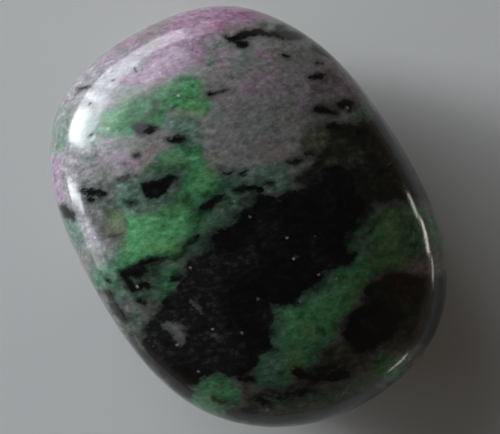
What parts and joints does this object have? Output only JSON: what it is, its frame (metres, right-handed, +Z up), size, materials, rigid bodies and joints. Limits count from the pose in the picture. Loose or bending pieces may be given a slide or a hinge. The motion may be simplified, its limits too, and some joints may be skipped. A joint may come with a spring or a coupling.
{
  "type": "ruby in zoisite specimen",
  "caption": "Tumbled, polished oval pebble of ruby in zoisite with a domed crown, steep flanks and a level foot it lies on.",
  "frame": {"origin": "on the surface the pebble rests on, under the middle of its bounding box", "axes": "+X along the pebble's length towards its dark end, away from the ruby; +Y across it; +Z up through the domed crown"},
  "size_m": [0.0328, 0.0252, 0.014],
  "materials": {
    "polished_stone": "tumble-polished, wet-looking gloss; green zoisite and black amphibole streaked together, grey matrix, and pink to magenta ruby at one end"
  },
  "bodies": {
    "root": {"stone": "polished_stone"}
  },
  "joints": []
}
